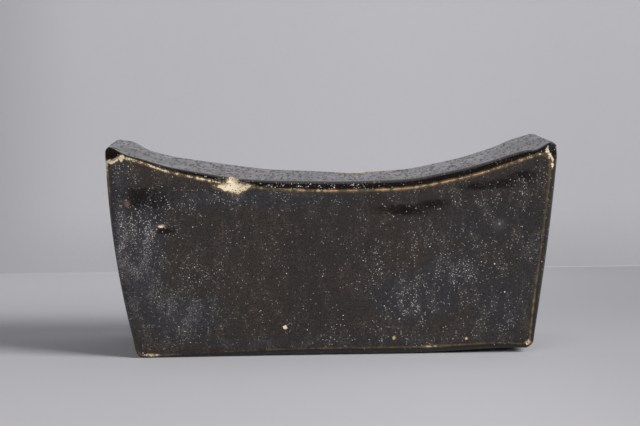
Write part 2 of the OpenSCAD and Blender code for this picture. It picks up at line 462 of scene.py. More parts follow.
# Along each arris: share of the side, half width of the wear and how pale it is
FRONT_WEAR = {
    "top": ((0.0, 0.8, 1.0), (0.05, 0.6, 1.0), (0.2, 0.55, 1.0), (0.3, 0.4, 0.8),
            (0.37, 0.15, 0.35), (0.5, 0.4, 0.4), (0.65, 0.55, 0.3), (0.8, 0.6, 0.35),
            (0.9, 0.5, 0.5), (0.97, 0.45, 0.6), (1.0, 0.3, 1.0)),
    "right": ((0.0, 0.3, 1.0), (0.06, 0.2, 0.8), (0.12, 0.0, 0.2), (0.9, 0.0, 0.1),
              (0.97, 0.3, 0.6), (1.0, 0.3, 0.8)),
    "base": ((0.0, 0.2, 0.6), (0.05, -0.3, 0.1), (0.22, -0.1, 0.2), (0.26, 0.4, 0.7),
             (0.3, -0.3, 0.1), (0.7, -0.5, 0.1), (0.88, -0.6, 0.1), (0.92, -0.2, 0.6),
             (1.0, -0.3, 0.5)),
    "left": ((0.0, -0.3, 0.2), (0.2, -0.9, 0.1), (0.68, -0.7, 0.1), (0.8, 0.2, 0.4),
             (0.9, 0.3, 0.6), (0.94, 0.9, 1.0), (1.0, 0.8, 1.0)),
}
BACK_WEAR = {
    "top": ((0.0, 0.4, 0.8), (0.2, 0.1, 0.3), (0.55, 0.3, 0.8), (0.7, 0.1, 0.2), (1.0, 0.5, 0.9)),
    "right": ((0.0, 0.5, 0.9), (0.3, 0.1, 0.2), (1.0, 0.3, 0.6)),
    "base": ((0.0, 0.3, 0.6), (0.4, 0.05, 0.2), (1.0, 0.4, 0.7)),
    "left": ((0.0, 0.4, 0.7), (0.5, 0.0, 0.2), (1.0, 0.4, 0.9)),
}
# How far painted shade darkens the glaze on the rim outside each front arris, and outside the back
# ones
RIM_PAINTED_SHADE = {"top": 0.9, "right": 0.8, "base": 0.8, "left": 0.0}
BACK_RIM_PAINTED_SHADE = 0.5


def arris_line(face, wear):
    """Points of one arris as rows of x, y, z, wear, paleness and how dark painted shade makes its
    rim.
    """
    rows = []
    blunt_lean = math.asin(1 - CRISP_ARRIS / RIM)
    for side, table in wear.items():
        curve = side_curve(side, RIM + SLIP / 2)
        drawn_back = np.zeros(len(curve))
        if face < 0:
            shares = edge_shares(side)
            outward = (shares["crisp"] + shares["blunt"])[:, None]
            curve += outward * (side_curve(side, CRISP_ARRIS) - curve)
            drawn_back = shares["blunt"] * RIM * (1 - math.cos(blunt_lean))
        share = np.linspace(0, 1, len(curve))
        stops, widths, pales = np.array(table).T
        for (x, z), s, back in zip(curve[:-1], share, drawn_back):
            y = face * (HALF_DEPTH - back)
            width = np.interp(s, stops, widths)
            width += ripple(x, y, z, WEAR_WAVES) + ripple(x, y, z, WEAR_NICKS)
            pale = np.interp(s, stops, pales) + ripple(x, y, z, PALE_WAVES)
            rows.append((x, y, z, width, pale, RIM_PAINTED_SHADE[side] if face < 0 else BACK_RIM_PAINTED_SHADE))
    return rows


ARRISES = np.array(arris_line(-1, FRONT_WEAR) + arris_line(1, BACK_WEAR))
arris_tree = tree_of(ARRISES[:, :3])
inner_tree = tree_of(np.insert(whole_outline(RING_WALL), 1, 0, axis=1))

# Chips, each with its middle, its reach along X, Y and Z, how deep it is cut and its direction
CHIPS = (
    ((-61.2, -54.5, 106.4), (11.2, 7.0, 3.0), 0.9, (0, 0.9, -0.43)),
    ((-61.6, -50.2, 109.2), (5.2, 7.5, 3.8), 0.1, (0, 0.5, -0.87)),
    ((-59.8, -54.5, 104.9), (7.6, 5.0, 3.4), 0.6, (0, 0.9, -0.43)),
    ((-129.8, -54.5, 124.8), (1.9, 2.8, 2.3), 0.1, (0.3, 0.8, -0.5)),
    ((133.8, -54.4, 126.4), (1.0, 2.6, 2.4), 0.0, (-0.4, 0.8, -0.4)),
    ((135.7, -54.4, 123.4), (1.1, 2.6, 1.9), 0.0, (-0.4, 0.8, -0.4)),
    ((137.5, -54.4, 120.6), (1.1, 2.6, 1.9), 0.0, (-0.4, 0.8, -0.4)),
    ((137.4, -54.4, 117.4), (1.2, 2.6, 2.4), 0.1, (-0.4, 0.8, -0.4)),
    ((-139.7, -52.6, 121.0), (1.6, 4.0, 3.2), 0.0, (0.8, 0.6, 0)),
    ((-139.3, -52.6, 116.6), (1.2, 4.0, 3.4), 0.0, (0.8, 0.6, 0)),
    ((122, -54.5, 6.2), (2.2, 3.0, 1.8), 0.5, (-0.4, 0.8, 0.4)),
    ((-113.4, -54.5, 1.7), (5.0, 3.0, 1.0), 0.3, (0, 0.8, 0.6)),
    ((25, 47, 107.6), (22, 11, 4.0), 0.0, (0, -0.5, -0.85)),
    ((-84, 54, 5), (6, 3.5, 3.0), 0.8, (0, -0.8, 0.6)),
    ((96, 54, 113), (5, 4.0, 3.2), 0.8, (0, -0.7, -0.7)),
    ((-137, 12, 120), (3, 4.0, 3.0), 0.4, (1, 0, -0.4)),
)
# A chip's outline lies between a diamond, at 1, and a round one, at 2
CHIP_OUTLINE = 1.3
# How far out a cut is felt, where a chip's clay turns pale, and how steep its walls are
CUT_FELT = 1.6
CHIP_PALE_FROM = -0.2
CHIP_STEEPNESS = 3
# Corners that were cut flat before they were glazed, as chips are given
CUT_CORNERS = (
    ((140.6, -55.0, 131.6), (14.0, 14.0, 14.0), 6.0, (-0.58, 0.73, -0.36)),
    ((-139.5, -55.0, 131.0), (14.0, 14.0, 14.0), 6.0, (0.40, 0.72, -0.57)),
)

# Soft patches on the front face: middle [x, z], reach [x, z] and strength
HAZE_AND_SHEEN = (
    ((-114, 78), (8, 15), 0.48), ((-119, 54), (12, 28), 0.34), ((-95, 26), (20, 12), 0.32),
    ((0, 9), (125, 4), 0.1), ((52, 36), (26, 14), 0.22), ((75, 50), (20, 14), 0.22),
    ((95, 80), (40, 26), 0.09), ((105, 30), (26, 34), 0.11), ((122, 70), (16, 60), 0.09),
    # The last patch, a narrow pale strip down the left rim, is a painted reflection
    ((-60, 99), (60, 6), 0.2), ((-131, 80), (4, 26), 0.9),
)
# Among the pools, the one under the pimple at -104 is its painted shadow, and the last two, on the
# top corners, are painted shade
POOLS_AND_SHADE = (
    ((45, 91.6), (15, 4.0), 1.0), ((63, 95.4), (9, 3.0), 0.9), ((-117, 99), (14, 8), 0.9),
    ((-104, 79.5), (6, 2.6), 1.0), ((91, 105), (10, 3), 0.9), ((-107, 90), (5, 8), 0.8),
    ((20, 98), (60, 3), 0.5), ((-12, 58), (26, 44), 0.4), ((106, 107), (10, 4), 1.0),
    ((118, 111.5), (9, 4), 1.0), ((-137, 128), (8, 6), 1.0), ((139, 126), (5, 8), 1.0),
)
SPECKS = (
    ((-88, 34), (34, 24), 0.8), ((50, 31), (20, 14), 1.0), ((68, 46), (10, 12), 0.9),
    ((45, 66), (16, 8), 0.7), ((88, 60), (24, 20), 0.5), ((-114, 88), (18, 26), 1.25),
    ((75, 95), (60, 14), 0.35), ((-131, 78), (4, 28), 1.3), ((-126, 110), (10, 16), 1.0),
    ((112, 108), (18, 6), 0.8),
)
# Rolls of thick glaze, which lean up where they end: middle [x, z], reach along X, height, depth
ROLLS = (
    ((45, 91.6), 15, 8, 0.55), ((63, 95.4), 9, 6, 0.4), ((-117, 99), 14, 14, 0.9),
    ((-104, 79.5), 6, 5, 0.35), ((98, 106), 16, 6, 0.4), ((118, 111), 9, 6, 0.35),
)
# A line down the face: specks lie thicker on its right, most of all close to it
RUN_LINE_X = 24.5
RUN_LINE_WIDTH = 2
RUN_LINE_REACH = 9
RUN_SPECKS = 0.2
RUN_LINE_SPECKS = 0.4
# They thin out by this share in the lower right corner: its start and run along X and Z
CLEAN_SHARE = 0.8
CLEAN_ALONG = (90, 30)
CLEAN_DOWN = (70, -30)
# The rounded band over the front arris is painted black as shade, and thick with specks along this
# stretch
BAND_SPECKS = 1.2
BAND_FROM = (-90, 15)
BAND_TO = (50, -40)
# How far behind the face its marks reach, and over what depth they fade
FRONT_DEPTH = 8
FRONT_FADE = 6
# Haze, pools and specks on the other faces, specks everywhere, and the share that a pool hides
HAZE_ROUND = 0.4
POOL_ROUND = 0.6
SPECK_ROUND = 0.5
SPECK_ALL = 0.18
POOL_HIDES = 0.5
# Round the body, glaze gathers where its ripple is this high, and below this height
THICK_FROM = 0.3
FOOT_GATHER = 8

# Depth inside a worn patch: far from any, on the raw clay inside, and at most underneath
UNWORN = -9.0
RAW = 5.0
UNDER_MOST = 4.0
# The bare middle of the underside: half its length, its margin to the faces and how pale it is
UNDER_HALF_LENGTH = 112
UNDER_MARGIN = 9
UNDER_PALE = 0.8
# A point this close lies on the table, a flat inner face or the curved inner wall
TABLE_WITHIN = 0.02
FLAT_WITHIN = 0.01
WALL_WITHIN = 1.2

# Where the saddle sags or swells: place along X, reach, and rise at the front and at the back
SADDLE_SWELLS = (
    (-138, 7, -0.5, -1.3), (-127, 6, 0.3, 0.9), (-117, 9, 0.8, -1.2), (-103, 14, -0.4, -1.4),
    (-58, 22, -0.3, 1.0), (-16, 24, 0.2, 1.4), (33, 12, 0.0, 0.9), (52, 24, -1.7, -1.5),
    (88, 18, -1.0, -0.8), (124, 9, 0.0, 1.2),
)
# The right front foot stands this high: where its lift starts, and its run, along X and Y
FOOT_LIFT = 2.6
LIFT_ALONG = (45, 80)
LIFT_ACROSS = (45, -90)
# How far the ends and the faces wave, and the length and start of their waves along two axes
END_WAVE = 0.35
END_WAVE_UP = (31, 0.4)
END_WAVE_ACROSS = (40, 0.9)
FACE_WAVE = 0.15
FACE_WAVE_ALONG = (43, 0.7)
FACE_WAVE_UP = (37, 1.1)
# Grit under the glaze of the saddle: seed of its dice, share of the points it lifts, and how far
GRIT_SEED = 11
GRIT_SHARE = 0.055
GRIT_RISE = (0.08, 0.4)
# A roll of glaze dies out above itself over this many times its height
ROLL_TAIL = 1.5


def wave(place, length, start):
    return np.sin(place / length + start)


def by_hand(points):
    """Points moved as a hand-built body sags, waves and stands a little high on one foot."""
    x, y, z = points.T
    height = np.clip(z / SADDLE_HEIGHT, 0, 1)
    towards_back = smooth(y / (2 * HALF_DEPTH) + 0.5)
    swell = np.zeros(len(points))
    for middle, reach, front_rise, back_rise in SADDLE_SWELLS:
        rise = front_rise + (back_rise - front_rise) * towards_back
        swell += rise * np.exp(-((x - middle) / reach) ** 2)
    lift = FOOT_LIFT * grow(x, *LIFT_ALONG) * grow(y, *LIFT_ACROSS) * (1 - height)
    face_waves = 1 + wave(x, *FACE_WAVE_ALONG) * wave(z, *FACE_WAVE_UP)
    moved = points.copy()
    moved[:, 0] += END_WAVE * wave(z, *END_WAVE_UP) * wave(y, *END_WAVE_ACROSS)
    moved[:, 1] *= 1 - FACE_WAVE * face_waves / HALF_DEPTH
    moved[:, 2] += lift + height * swell
    return moved


def gritty(points, moved):
    """Lifts scattered points of the saddle, as grit under its glaze does."""
    dice = np.random.default_rng(GRIT_SEED)
    lifted = dice.random(len(points)) < GRIT_SHARE
    rise = dice.uniform(*GRIT_RISE, len(points))
    from_centre = np.linalg.norm(points[:, (0, 2)] + flat(MIDDLE_X, 0) - SADDLE_CENTRE, axis=1)
    lifted &= from_centre < SADDLE_RADIUS + RING_WALL / 2
    lifted &= abs(points[:, 1]) < HALF_DEPTH - 2 * RIM
    moved[lifted, 2] += rise[lifted]


def rolled_glaze(points, moved):
    """Leans the front face up along the lower edge of each roll of thick glaze."""
    x, y, z = points.T
    on_face = y < -HALF_DEPTH + 3 * PANEL_FALL
    for (px, pz), reach, height, deep in ROLLS:
        over = (z - pz) / height
        profile = smooth(over + 0.5) * (1 - grow(over, 0.5, ROLL_TAIL))
        moved[:, 1] += on_face * deep * profile * np.exp(-((x - px) / reach) ** 2)


def patches(x, z, table):
    """How strongly a table of soft patches covers each place on a face."""
    cover = np.zeros(len(x))
    for (px, pz), (rx, rz), strength in table:
        near = ((x - px) / rx) ** 2 + ((z - pz) / rz) ** 2
        cover = np.maximum(cover, strength * np.exp(-near))
    return cover


def cut_into(points, middle, reach, deep, way):
    """The points near a cut: how near, how far they stand proud of its plane, and the way in."""
    inward = unit(np.array(way, float))
    near = (abs((points - middle) / reach) ** CHIP_OUTLINE).sum(axis=1)
    proud = np.maximum(0, deep - (points - middle) @ inward)
    return np.where(near < CUT_FELT)[0], near, proud, inward


def chipped(points, bare, pale):
    """Cuts the corners and the chips flat into the points, and lays the clay of the chips bare."""
    for corner_cut in CUT_CORNERS:
        chosen, _, proud, inward = cut_into(points, *corner_cut)
        points[chosen] += proud[chosen, None] * inward
    for chip in CHIPS:
        chosen, near, proud, inward = cut_into(points, *chip)
        half_width = min(chip[1]) / 2
        for i in chosen:
            left_over = 1 - near[i] + ripple(*points[i], CHIP_RAGS)
            bare[i] = max(bare[i], half_width * left_over)
            pale[i] = max(pale[i], 1.0 if left_over > CHIP_PALE_FROM else 0.0)
            if left_over > 0:
                cut = min(1, CHIP_STEEPNESS * left_over) * (1 + ripple(*points[i], CHIP_FLOOR))
                points[i] += cut * proud[i] * inward


def inner_side(points):
    """True at the points that lie on the inner faces of the slabs and panels."""
    on_wall = np.zeros(len(points), bool)
    for i, (x, y, z) in enumerate(points):
        if abs(y) < INNER_HALF + FLAT_WITHIN:
            on_wall[i] = inner_tree.find((x, 0, z))[2] < WALL_WITHIN
    return on_wall | (abs(abs(points[:, 1]) - INNER_HALF) < FLAT_WITHIN)


def worn_marks(points):
    """Depth inside a worn patch at each point, paleness, share of the rim and how dark painted
    shade makes it.
    """
    x, y, z = points.T
    count = len(points)
    bare, pale = np.full(count, UNWORN), np.zeros(count)
    rim, rim_shade = np.zeros(count), np.zeros(count)
    near_face = abs(y) > HALF_DEPTH - 3 * RIM
    middle = flat(0, SADDLE_HEIGHT / 2)
    for i in np.where(near_face)[0]:
        place, index, far = arris_tree.find(points[i])
        bare[i] = ARRISES[index, 3] - far
        pale[i] = ARRISES[index, 4]
        arris = flat(place.x, place.z)
        if (points[i, (0, 2)] - arris) @ (arris - middle) > 0:
            rim[i] = 1 - grow(far, RIM, RIM)
            rim_shade[i] = ARRISES[index, 5]
    inside = inner_side(points)
    bare[inside] = RAW
    pale[inside] = 1
    under = z < TABLE_WITHIN
    edge = np.minimum(HALF_DEPTH - UNDER_MARGIN - abs(y), UNDER_HALF_LENGTH - abs(x))
    bare[under] = np.maximum(bare[under], np.clip(edge[under], UNWORN, UNDER_MOST))
    pale[under] = UNDER_PALE
    return bare, pale, rim, rim_shade


def surface_marks(points):
    """Wear, paleness, haze with a painted reflection, specks, and pools with painted shade at each
    drawn point of the body.
    """
    x, y, z = points.T
    bare, pale, rim, rim_shade = worn_marks(points)
    front = smooth((-y - HALF_DEPTH + FRONT_DEPTH) / FRONT_FADE)
    clouded = (1 - front) * smooth(drift(points, CLOUDS))
    thick = smooth(drift(points, THICK_GLAZE) - THICK_FROM)
    gathered = (1 - front) * np.maximum(thick, z < FOOT_GATHER)
    haze_and_sheen = front * patches(x, z, HAZE_AND_SHEEN) + HAZE_ROUND * clouded
    pool_and_shade = front * patches(x, z, POOLS_AND_SHADE) + POOL_ROUND * gathered
    past_line = grow(x, RUN_LINE_X, RUN_LINE_WIDTH)
    by_line = np.exp(-((x - RUN_LINE_X) / RUN_LINE_REACH) ** 2)
    cleaner = 1 - CLEAN_SHARE * grow(x, *CLEAN_ALONG) * grow(z, *CLEAN_DOWN)
    run_side = past_line * cleaner * (RUN_SPECKS + RUN_LINE_SPECKS * by_line)
    speck = SPECK_ALL + front * np.maximum(patches(x, z, SPECKS), run_side) + SPECK_ROUND * clouded
    speck *= 1 - POOL_HIDES * pool_and_shade
    band = rim * (y < 0) * (z > SADDLE_HEIGHT - 2 * RIM)
    band *= grow(x, *BAND_FROM) * grow(x, *BAND_TO)
    speck += BAND_SPECKS * band
    # Painted shade on the rim: its haze is taken off and it is darkened like a pool
    haze_and_sheen *= 1 - rim * rim_shade
    pool_and_shade = np.maximum(pool_and_shade, rim * rim_shade)
    return {"bare": bare, "pale": pale, "haze_and_sheen": haze_and_sheen, "pool_and_shade": pool_and_shade, "speck": speck}


# Pieces

def placed(name, data):
    """A new object of the scene that holds the data."""
    made = bpy.data.objects.new(name, data)
    bpy.context.scene.collection.objects.link(made)
    return made


def piece(name, points, faces, material, slot, *nodes):
    """A closed mesh made of drawn points, worked by hand, that stands for CAD nodes."""
    shape = bmesh.new()
    for point in points:
        shape.verts.new(point)
    shape.verts.ensure_lookup_table()
    for face in faces:
        shape.faces.new([shape.verts[i] for i in face])
    bmesh.ops.remove_doubles(shape, verts=shape.verts, dist=WELD)
    bmesh.ops.dissolve_degenerate(shape, edges=shape.edges, dist=SLIVER)
    bmesh.ops.recalc_face_normals(shape, faces=shape.faces)
    mesh = bpy.data.meshes.new(name)
    shape.to_mesh(mesh)
    shape.free()

    drawn = np.empty(len(mesh.vertices) * 3)
    mesh.vertices.foreach_get("co", drawn)
    drawn = drawn.reshape(-1, 3)
    marks = surface_marks(drawn)
    moved = by_hand(drawn)
    gritty(drawn, moved)
    rolled_glaze(drawn, moved)
    chipped(moved, marks["bare"], marks["pale"])
    moved = np.clip(moved * MM, cad_low, cad_high)
    mesh.vertices.foreach_set("co", moved.ravel())
    for mark, values in marks.items():
        layer = mesh.attributes.new(mark, "FLOAT", "POINT")
        layer.data.foreach_set("value", values.astype(np.float32))
    mesh.shade_smooth()
    mesh.set_sharp_from_angle(angle=SHARP_ANGLE)
    mesh.materials.append(material)
    mesh.update()

    made = placed(name, mesh)
    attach(made, BODY)
    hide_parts(*nodes)


def glazed_ring(glaze):
    for side, node in (("top", "top_slab"), ("right", "right_end_slab"),
                       ("base", "base_slab"), ("left", "left_end_slab")):
        bent = slab_rails(lambda inset: slab_curve(side, inset), edge_shares(side))
        points, faces = skin(bent, False)
        piece("glazed_" + node, points, faces, glaze, "black_glaze", node)


def panels(glaze):
    for name, node, vented in (("glazed_front", "front_panel", False),
                               ("glazed_back", "back_panel", True)):
        points, faces = panel_mesh(vented)
        piece(name, points, faces, glaze, "black_glaze", node)


def panel_seams(slip):
    points, faces = skin(rails(bead_section(), whole_outline), True)
    piece("front_seam", points, faces, slip, "slip", "front_slip")
    piece("back_seam", points * (1, -1, 1), faces, slip, "slip", "back_slip")


def mitre_seams(slip):
    """The slip in each mitre of the ring, which shows as a line over the corner."""
    for end, level in ((LEFT, TOP), (RIGHT, TOP), (LEFT, FOOT), (RIGHT, FOOT)):
        def across(inset):
            middle, way = mitre(end, level, inset)
            return np.array([middle + step * SLIP / 2 * clockwise(way) for step in (-1, 0, 1)])
        station = -1 if (end == LEFT) == (level == TOP) else 0
        shares = edge_shares("left" if end == LEFT else "right")
        here = {shape: np.full(3, share[station]) for shape, share in shares.items()}
        points, faces = skin(slab_rails(across, here), False)
        name = ("top" if level == TOP else "base") + ("_left" if end == LEFT else "_right")
        piece(name + "_seam", points, faces, slip, "slip", name + "_slip")


# Shader helpers

def fill(tree, inputs, sockets):
    """Puts a value on each named socket, or links another socket to it."""
    for key, value in sockets.items():
        if isinstance(value, bpy.types.NodeSocket):
            tree.links.new(value, inputs[key])
        else:
            inputs[key].default_value = value


def add(tree, kind, sockets=None, **settings):
    """A node with its settings and its filled sockets."""
    made = tree.nodes.new("ShaderNode" + kind)
    for key, value in settings.items():
        setattr(made, key, value)
    fill(tree, made.inputs, sockets or {})
    return made


def calc(tree, operation, a, b, clamp=False):
    return add(tree, "Math", {0: a, 1: b}, operation=operation, use_clamp=clamp).outputs[0]


def times(tree, a, b, clamp=False):
    return calc(tree, "MULTIPLY", a, b, clamp)


def plus(tree, a, b, clamp=False):
    return calc(tree, "ADD", a, b, clamp)


def vector(tree, operation, a, b):
    return add(tree, "VectorMath", {0: a, 1: b}, operation=operation).outputs[0]


def ease(tree, value, low, high, to_low=0.0, to_high=1.0):
    """A value carried smoothly from one range to another, and held at its ends."""
    return add(tree, "MapRange", {
        "Value": value, "From Min": low, "From Max": high, "To Min": to_low, "To Max": to_high,
    }, interpolation_type="SMOOTHSTEP").outputs["Result"]


def blend(tree, factor, a, b):
    """One colour over another."""
    return add(tree, "Mix", {0: factor, 6: a, 7: b}, data_type="RGBA").outputs[2]


def mottle(tree, position, size, detail=2.0, roughness=0.5):
    """Noise from 0 to 1 with humps of one size."""
    return add(tree, "TexNoise", {
        "Vector": position, "Scale": 1 / size, "Detail": detail, "Roughness": roughness,
    }).outputs["Fac"]


def cells(tree, position, size):
    """Distance to the nearest of scattered points, and that point's own random colour."""
    made = add(tree, "TexVoronoi", {"Vector": position, "Scale": 1 / size})
    split = add(tree, "SeparateColor", {"Color": made.outputs["Color"]})
    return made.outputs["Distance"], split.outputs


def rgb(red, green, blue):
    return (red, green, blue, 1.0)


def group(name, inputs, outputs):
    """An empty node group with its named sockets, and its input and output nodes."""
    tree = bpy.data.node_groups.new(name, "ShaderNodeTree")
    for direction, sockets in (("INPUT", inputs), ("OUTPUT", outputs)):
        for socket, kind in sockets.items():
            tree.interface.new_socket(socket, in_out=direction, socket_type="NodeSocket" + kind)
    return tree, tree.nodes.new("NodeGroupInput").outputs, tree.nodes.new("NodeGroupOutput").inputs


def place_group(tree, made, sockets):
    return add(tree, "Group", sockets, node_tree=made).outputs


# Finishes that more than one material shares

GLAZE_BROWN = rgb(0.0180, 0.0125, 0.0090)
GLAZE_WARM = rgb(0.0245, 0.0150, 0.0098)
GLAZE_COOL = rgb(0.0120, 0.0108, 0.0130)
GLAZE_GRAIN = rgb(0.0035, 0.0028, 0.0026)
GLAZE_CRYSTAL = rgb(0.085, 0.068, 0.056)
# Grey of the glaze's haze, which also paints a reflection down the left rim
GLAZE_HAZE_AND_SHEEN = rgb(0.148, 0.140, 0.150)
# Colour of pooled glaze, which also paints shade on the rims and the top corners
GLAZE_POOL_AND_SHADE = rgb(0.0045, 0.0035, 0.003)
GLAZE_THIN = rgb(0.120, 0.080, 0.036)
SPECK_CREAM = rgb(0.80, 0.78, 0.74)
CLAY_CREAM = rgb(0.74, 0.64, 0.47)
CLAY_BUFF = rgb(0.60, 0.47, 0.30)
CLAY_DARK = rgb(0.42, 0.30, 0.18)
CLAY_IRON = rgb(0.10, 0.055, 0.03)
CLAY_RUST = rgb(0.31, 0.145, 0.052)
# Widths of the patterns in glaze, clay and worn edges
WARM_PATCH = 30
CLOUD_PATCH = 8
PEEL_HUMP = 6
FINE_HUMP = 4.0
PIT_SPACING = 1.7
GRAIN = 0.9
CRYSTAL = 0.6
CLAY_BLOTCH = 5
IRON_SPACING = 1.5
CLAY_GRIT = 0.7
NIBBLE = 1.0
MARK_WOBBLE = 0.8
# Heights of relief, and the roughness of glaze, worn clay and raw clay
PEEL_RISE = 0.05
FINE_RISE = 0.02
PIT_DEPTH = 0.08
GRIT_HEIGHT = 0.12
GLAZE_ROUGHNESS = (0.13, 0.22)
WORN_ROUGHNESS = 0.85
RAW_ROUGHNESS = (0.78, 0.95)
# How wide the brown band beside a worn edge is, and how soft the edge
THIN_WIDTH = 1.2
WORN_SOFTNESS = 0.2
# Pale specks: spacing, the share of the places that hold one, radius as a share of the spacing,
# and how few of them are bright
SPECK_SIZES = ((3.2, 0.5, 0.11, 0.5), (1.5, 0.4, 0.2, 1.5), (0.8, 1.2, 0.32, 1.9))


def glaze_group():
    """Iron glaze: brown-black, hazed in places, with pale specks and an orange-peel skin."""
    tree, given, put = group(
        "iron glaze",
        {"Position": "Vector", "HazeAndSheen": "Float", "Speck": "Float", "PoolAndShade": "Float"},
        {"Color": "Color", "Roughness": "Float", "Height": "Float"})
    place, haze_and_sheen, speck, pool_and_shade = [given[name] for name in ("Position", "HazeAndSheen", "Speck", "PoolAndShade")]
    run_down = vector(tree, "MULTIPLY", place, (1, 1, 0.5))
    cloud = ease(tree, mottle(tree, run_down, CLOUD_PATCH, 4, 0.6), 0.42, 0.62)

    def by_cloud(clear, clouded):
        return ease(tree, cloud, 0, 1, clear, clouded)

    warm = ease(tree, mottle(tree, place, WARM_PATCH), 0.4, 0.7)
    colour = blend(tree, warm, GLAZE_BROWN, GLAZE_WARM)
    colour = blend(tree, ease(tree, haze_and_sheen, 0.0, 0.12), colour, GLAZE_COOL)
    grain = ease(tree, mottle(tree, place, GRAIN, 2, 0.6), 0.54, 0.36, 0.0, 0.9)
    colour = blend(tree, grain, colour, GLAZE_GRAIN)
    crystal = cells(tree, place, CRYSTAL)[1]
    sparkle = times(tree, calc(tree, "POWER", crystal[0], 4.0), by_cloud(0.2, 0.85))
    colour = blend(tree, sparkle, colour, GLAZE_CRYSTAL)
    film = plus(tree, calc(tree, "POWER", crystal[1], 3.0), 0.25)
    film = times(tree, times(tree, film, by_cloud(0.5, 1.3)), haze_and_sheen, clamp=True)
    colour = blend(tree, film, colour, GLAZE_HAZE_AND_SHEEN)
    # Pools darken the glaze here, and so does the painted shade carried with them
    colour = blend(tree, times(tree, pool_and_shade, 0.9), colour, GLAZE_POOL_AND_SHADE)
    dense = times(tree, speck, by_cloud(0.35, 1.2))
    dusty = times(tree, plus(tree, haze_and_sheen, times(tree, speck, 0.25)), by_cloud(0.3, 1.4))
    bigger = calc(tree, "MAXIMUM", speck, 1.0)
    for (size, share, radius, dull), many in zip(SPECK_SIZES, (dense, dense, dusty)):
        distance, chance = cells(tree, place, size)
        chosen = calc(tree, "LESS_THAN", chance[0], times(tree, many, share))
        dot = ease(tree, calc(tree, "DIVIDE", distance, bigger), radius, radius * 0.6)
        bright = calc(tree, "POWER", chance[1], dull)
        dot = times(tree, times(tree, dot, chosen), bright)
        colour = blend(tree, dot, colour, SPECK_CREAM)
    pit_far, pit_chance = cells(tree, place, PIT_SPACING)
    pit = times(tree, ease(tree, pit_far, 0.3, 0.12), calc(tree, "LESS_THAN", pit_chance[2], 0.6))
    fine = mottle(tree, place, FINE_HUMP, 3, 0.6)
    rough = plus(tree, ease(tree, fine, 0.3, 0.7, *GLAZE_ROUGHNESS), times(tree, film, 0.3))
    rough = plus(tree, rough, times(tree, pit, 0.5), clamp=True)
    rough = times(tree, rough, ease(tree, pool_and_shade, 0, 1, 1.0, 0.5))
    humps = times(tree, mottle(tree, place, PEEL_HUMP), PEEL_RISE)
    peel = plus(tree, humps, times(tree, fine, FINE_RISE))
    peel = calc(tree, "SUBTRACT", peel, times(tree, pit, PIT_DEPTH))
    fill(tree, put, {"Color": colour, "Roughness": rough, "Height": peel})
    return tree


def clay_group():
    """Bare stoneware: cream, gritty, with rusty and dark iron spots."""
    tree, given, put = group(
        "bare stoneware", {"Position": "Vector", "Stain": "Float"},
        {"Color": "Color", "Height": "Float"})
    place = given["Position"]
    blotch = ease(tree, mottle(tree, place, CLAY_BLOTCH, 3), 0.35, 0.7)
    grit = mottle(tree, place, CLAY_GRIT, 3)
    colour = blend(tree, blotch, CLAY_CREAM, CLAY_BUFF)
    colour = blend(tree, ease(tree, grit, 0.5, 0.75, 0, 0.5), colour, CLAY_DARK)
    distance, chance = cells(tree, place, IRON_SPACING)
    spot = times(tree, ease(tree, distance, 0.36, 0.2), calc(tree, "LESS_THAN", chance[0], 0.6))
    colour = blend(tree, spot, colour, CLAY_IRON)
    colour = blend(tree, given["Stain"], colour, CLAY_RUST)
    fill(tree, put, {"Color": colour, "Height": times(tree, grit, GRIT_HEIGHT)})
    return tree


def wear_group():
    """Where a worn edge shows the clay, and where the glaze thins out to brown before it."""
    tree, given, put = group(
        "worn edge", {"Position": "Vector", "Bare": "Float", "Pale": "Float"},
        {"Clay": "Float", "Thin": "Float"})
    nibble = calc(tree, "SUBTRACT", mottle(tree, given["Position"], NIBBLE, 4, 0.75), 0.5)
    nibble = times(tree, nibble, ease(tree, given["Pale"], 0.2, 0.8, 0.8, 2.6))
    edge = plus(tree, given["Bare"], nibble)
    fill(tree, put, {"Clay": ease(tree, edge, 0.0, WORN_SOFTNESS),
                     "Thin": ease(tree, edge, -THIN_WIDTH, 0.0)})
    return tree


# Small marks on the front face: middle [x, z], radius, how far it is drawn out along X, how far
# its edge fades as a share of its radius, and colour
FRONT_MARKS_AND_GLINT = (
    (-29.9, 17.9, 1.2, 1.0, 0.4, rgb(0.80, 0.66, 0.44)),
    (38.1, 10.4, 1.2, 1.0, 0.5, rgb(0.48, 0.33, 0.17)),
    (38.2, 10.3, 0.5, 1.0, 0.6, rgb(0.04, 0.025, 0.015)),
    (83.2, 9.2, 0.8, 1.4, 0.6, rgb(0.62, 0.46, 0.30)),
    (104.4, 80.9, 2.6, 1.3, 1.9, rgb(0.045, 0.043, 0.038)),
    (104.4, 80.9, 0.7, 1.0, 1.0, rgb(0.24, 0.23, 0.20)),
    (-126.8, 96.4, 1.3, 1.3, 1.8, rgb(0.13, 0.085, 0.046)),
    (-105.4, 82.2, 1.1, 2.6, 1.0, rgb(0.26, 0.13, 0.06)),
    # A cream dot over the pimple: a painted highlight
    (-105.6, 81.8, 1.0, 2.2, 0.5, rgb(0.80, 0.70, 0.56)),
    (101.2, 55.7, 0.5, 1.0, 0.4, SPECK_CREAM),
    (107.4, 38.1, 0.5, 1.0, 0.4, SPECK_CREAM),
)


